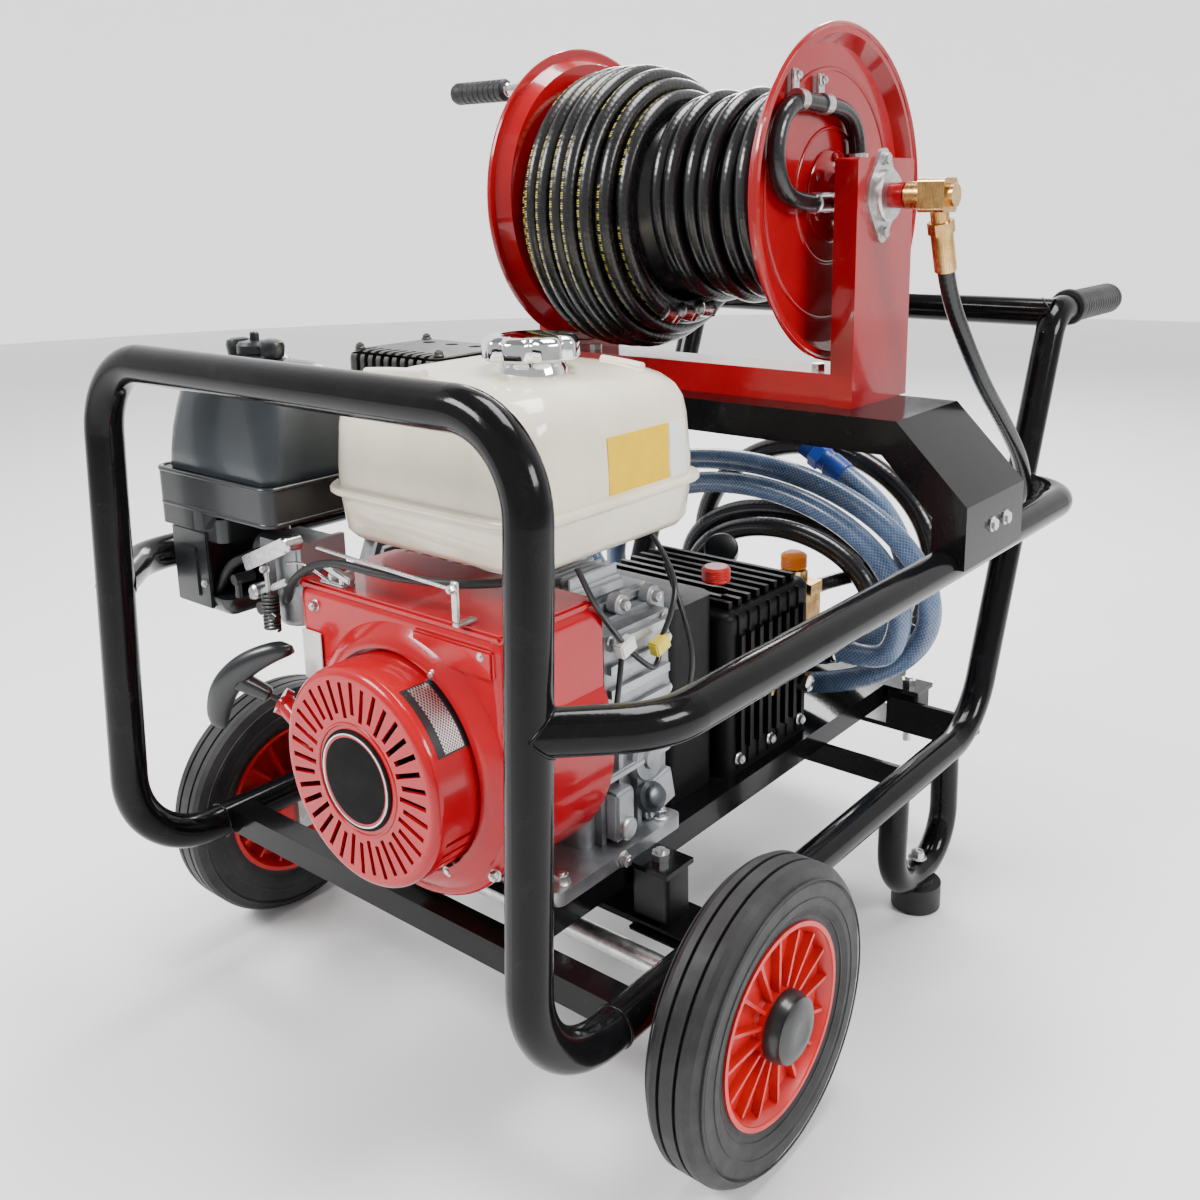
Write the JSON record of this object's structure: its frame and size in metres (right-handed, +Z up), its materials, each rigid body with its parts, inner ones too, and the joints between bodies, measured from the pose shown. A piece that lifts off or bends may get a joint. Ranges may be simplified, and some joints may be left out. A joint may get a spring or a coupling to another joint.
{
  "type": "engine-driven pressure washing and fire-fighting trolley with hose reel",
  "caption": "Two-wheeled tube-frame trolley carrying a petrol engine, geared plunger pump and a hand-cranked high-pressure hose reel.",
  "frame": {"origin": "on the ground under the middle of the bounding box", "axes": "+X to the machine's right seen from the front hoop, +Y to the handles at the rear, +Z up"},
  "size_m": [0.7344, 1.1549, 0.9405],
  "materials": {
    "black_paint": "gloss powder coat",
    "red_paint": "gloss",
    "cream_paint": "gloss",
    "zinc": "zinc plated",
    "foot_rubber": "matt",
    "grip_rubber": "matt",
    "mount_rubber": "matt",
    "engine_alloy": "as cast",
    "black_alloy": "black painted casting",
    "chrome": "polished",
    "black_plastic": "fine texture",
    "dark_steel": "heat darkened",
    "brass": "machined",
    "rope": "braided cord",
    "hose_rubber": "smooth",
    "blue_hose": "clear skin over blue braid",
    "blue_plastic": "moulded",
    "red_plastic": "moulded",
    "orange_plastic": "moulded",
    "tyre": "solid rubber"
  },
  "bodies": {
    "frame": {"front_hoop": "black_paint", "side_rail_left": "black_paint", "side_rail_right": "black_paint", "side_guards": "black_paint", "cross_members": "black_paint", "handle_crossbar": "black_paint", "axle": "zinc", "stand_loops": "black_paint", "stand_feet": "foot_rubber", "hand_grips": "grip_rubber", "reel_bridge": "black_paint", "base_tray": "black_paint", "rubber_mounts": "mount_rubber", "bolts": "zinc", "crankcase": "engine_alloy", "cylinder_head": "engine_alloy", "rocker_cover": "engine_alloy", "fan_shroud": "red_paint", "recoil_cover": "red_paint", "fuel_tank": "cream_paint", "air_cleaner_base": "black_plastic", "air_cleaner_cover": "black_plastic", "carburettor": "engine_alloy", "muffler": "dark_steel", "muffler_guard": "dark_steel", "starter_rope": "rope", "gearbox": "black_alloy", "pump_body": "black_alloy", "pump_head": "brass", "reel_stand": "red_paint", "reel_bearings": "zinc", "swivel_body": "brass", "delivery_hose": "hose_rubber", "supply_hose_lead": "blue_hose", "supply_hose_coil": "blue_hose", "bypass_hose_lead": "hose_rubber", "bypass_hose_coil": "hose_rubber", "hose_couplings": "blue_plastic"},
    "wheel_left": {"tyre_left": "tyre", "rim_left": "red_plastic"},
    "wheel_right": {"tyre_right": "tyre", "rim_right": "red_plastic"},
    "reel": {"reel_disc_left": "red_paint", "reel_disc_right": "red_paint", "reel_drum": "red_paint", "wound_hose": "hose_rubber", "link_hose": "hose_rubber", "crank_arm": "red_paint"},
    "crank_grip_body": {"crank_grip": "grip_rubber"},
    "crankshaft_body": {"crankshaft": "dark_steel"},
    "pump_shaft_body": {"pump_shaft": "dark_steel"},
    "recoil_pulley_body": {"recoil_pulley": "black_plastic"},
    "starter_grip_body": {"starter_grip": "black_plastic"},
    "fuel_cap_body": {"fuel_cap": "chrome"},
    "throttle_body": {"throttle_lever": "zinc"},
    "choke_body": {"choke_lever": "black_plastic"},
    "fuel_tap_body": {"fuel_tap_lever": "black_plastic"},
    "air_knob_body": {"air_cleaner_knob": "black_plastic"},
    "oil_cap_body": {"oil_filler_cap": "red_plastic"},
    "unloader_knob_body": {"unloader_knob": "orange_plastic"}
  },
  "joints": [
    {"name": "wheel_left_spin", "type": "hinge", "parent": "frame", "child": "wheel_left", "pos_m": [-0.30375, -0.3515, 0.13], "axis": [1, 0, 0], "continuous": true},
    {"name": "wheel_right_spin", "type": "hinge", "parent": "frame", "child": "wheel_right", "pos_m": [0.32925, -0.3515, 0.13], "axis": [1, 0, 0], "continuous": true},
    {"name": "reel_spin", "type": "hinge", "parent": "frame", "child": "reel", "pos_m": [0.01275, 0.0215, 0.776], "axis": [1, 0, 0], "continuous": true},
    {"name": "crank_grip_spin", "type": "hinge", "parent": "reel", "child": "crank_grip_body", "pos_m": [-0.32225, 0.0215, 0.904], "axis": [1, 0, 0], "continuous": true},
    {"name": "crankshaft_spin", "type": "hinge", "parent": "frame", "child": "crankshaft_body", "pos_m": [0.05475, -0.4545, 0.326], "axis": [0, 1, 0], "continuous": true},
    {"name": "pump_shaft_spin", "type": "hinge", "parent": "frame", "child": "pump_shaft_body", "pos_m": [0.05475, -0.1845, 0.272], "axis": [0, 1, 0], "continuous": true},
    {"name": "starter_pull", "type": "slide", "parent": "frame", "child": "starter_grip_body", "axis": [-0.5499, -0.6198, 0.5599], "range_m": [0, 0.4], "stiffness_N_per_m": 10, "springref_m": -0.25},
    {"name": "recoil_pulley_spin", "type": "hinge", "parent": "frame", "child": "recoil_pulley_body", "pos_m": [0.05475, -0.5025, 0.326], "axis": [0, -1, 0], "range_deg": [0, 480]},
    {"name": "fuel_cap_turn", "type": "hinge", "parent": "frame", "child": "fuel_cap_body", "pos_m": [0.10975, -0.3645, 0.66], "axis": [0, 0, 1], "range_deg": [0, 90]},
    {"name": "throttle_turn", "type": "hinge", "parent": "frame", "child": "throttle_body", "pos_m": [-0.07125, -0.4745, 0.492], "axis": [0, 1, 0], "range_deg": [0, 20]},
    {"name": "choke_turn", "type": "hinge", "parent": "frame", "child": "choke_body", "pos_m": [-0.14725, -0.4825, 0.447], "axis": [0, 1, 0], "range_deg": [0, 60]},
    {"name": "fuel_tap_turn", "type": "hinge", "parent": "frame", "child": "fuel_tap_body", "pos_m": [-0.11925, -0.4785, 0.424], "axis": [0, 1, 0], "range_deg": [0, 90]},
    {"name": "air_cleaner_knob_turn", "type": "hinge", "parent": "frame", "child": "air_knob_body", "pos_m": [-0.15525, -0.4435, 0.65], "axis": [0, 0, 1], "range_deg": [0, 180]},
    {"name": "oil_cap_turn", "type": "hinge", "parent": "frame", "child": "oil_cap_body", "pos_m": [0.11275, -0.1025, 0.395], "axis": [0, 0, 1], "range_deg": [0, 90]},
    {"name": "unloader_turn", "type": "hinge", "parent": "frame", "child": "unloader_knob_body", "pos_m": [0.11275, 0.0515, 0.377], "axis": [0, 0, 1], "range_deg": [0, 270]}
  ],
  "couplings": [
    {"joint": "pump_shaft_spin", "follows": "crankshaft_spin", "ratio": -0.5},
    {"joint": "recoil_pulley_spin", "follows": "starter_pull", "rad_per_m": 20.8}
  ]
}
